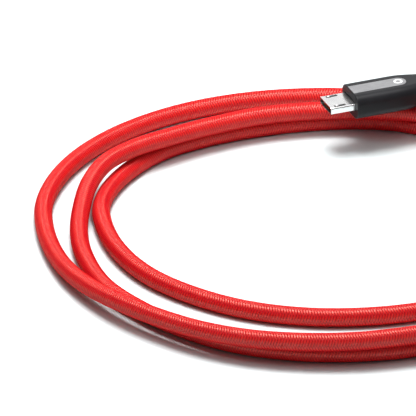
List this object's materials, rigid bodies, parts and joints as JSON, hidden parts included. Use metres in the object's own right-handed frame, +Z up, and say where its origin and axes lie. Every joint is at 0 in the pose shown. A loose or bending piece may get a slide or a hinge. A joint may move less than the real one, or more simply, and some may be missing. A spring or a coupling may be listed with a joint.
{
  "type": "charging cable",
  "caption": "Coiled braided charging lead with a Micro-B plug on one end and a USB-A plug on the other; latches and contacts are sprung.",
  "frame": {"origin": "on the surface the cable lies on, under the middle of the outline of its coil", "axes": "+X along the coil's longest extent, towards the side where the lead leaves the Micro-B plug; +Z up"},
  "size_m": [0.1508, 0.1351, 0.015],
  "materials": {
    "braid": "red braided nylon, fine herringbone",
    "casing": "glossy black moulding",
    "inlay": "satin light grey",
    "shell": "bright nickel-plated steel",
    "spring": "bare spring steel",
    "contact": "gold-plated",
    "insulator": "black moulded insulator",
    "tongue": "off-white moulded insulator",
    "mould": "natural inner moulding",
    "relief": "soft black elastomer",
    "jacket": "smooth dark jacket",
    "crimp": "plain crimped metal",
    "wire_red": "wire insulation",
    "wire_white": "wire insulation",
    "wire_green": "wire insulation",
    "wire_black": "wire insulation"
  },
  "bodies": {
    "root": {"cord": "braid", "micro_shell": "shell", "micro_contact_carrier": "insulator", "micro_rear_block": "insulator", "micro_inner_mould": "mould", "micro_wire_red": "wire_red", "micro_wire_white": "wire_white", "micro_wire_green": "wire_green", "micro_wire_black": "wire_black", "micro_jacket_end": "jacket", "micro_crimp_ring": "crimp", "micro_strain_relief": "relief", "micro_housing": "casing", "micro_top_panel": "inlay", "usb_a_shell": "shell", "usb_a_tongue": "tongue", "usb_a_contact_1": "contact", "usb_a_contact_2": "contact", "usb_a_contact_3": "contact", "usb_a_contact_4": "contact", "usb_a_rear_block": "tongue", "usb_a_inner_mould": "mould", "usb_a_wire_red": "wire_red", "usb_a_wire_white": "wire_white", "usb_a_wire_green": "wire_green", "usb_a_wire_black": "wire_black", "usb_a_jacket_end": "jacket", "usb_a_crimp_ring": "crimp", "usb_a_strain_relief": "relief", "usb_a_housing": "casing", "usb_a_top_panel": "inlay"},
    "micro_latch_left": {"micro_latch_left": "spring"},
    "micro_latch_right": {"micro_latch_right": "spring"},
    "micro_contacts": {"micro_contact_1": "contact", "micro_contact_2": "contact", "micro_contact_3": "contact", "micro_contact_4": "contact", "micro_contact_5": "contact"}
  },
  "joints": [
    {"name": "micro_latch_left_press", "type": "hinge", "parent": "root", "child": "micro_latch_left", "pos_m": [0.00185, 0.04231, 0.01243], "axis": [0.3746, -0.9272, 0], "range_deg": [0, 1.8], "stiffness_Nm_per_rad": 0.1},
    {"name": "micro_latch_right_press", "type": "hinge", "parent": "root", "child": "micro_latch_right", "pos_m": [-0.00006, 0.04704, 0.01243], "axis": [0.3746, -0.9272, 0], "range_deg": [0, 1.8], "stiffness_Nm_per_rad": 0.1},
    {"name": "micro_contacts_press", "type": "hinge", "parent": "root", "child": "micro_contacts", "pos_m": [0.00071, 0.0446, 0.01176], "axis": [0.3746, -0.9272, 0], "range_deg": [0, 1.2], "stiffness_Nm_per_rad": 0.05}
  ]
}
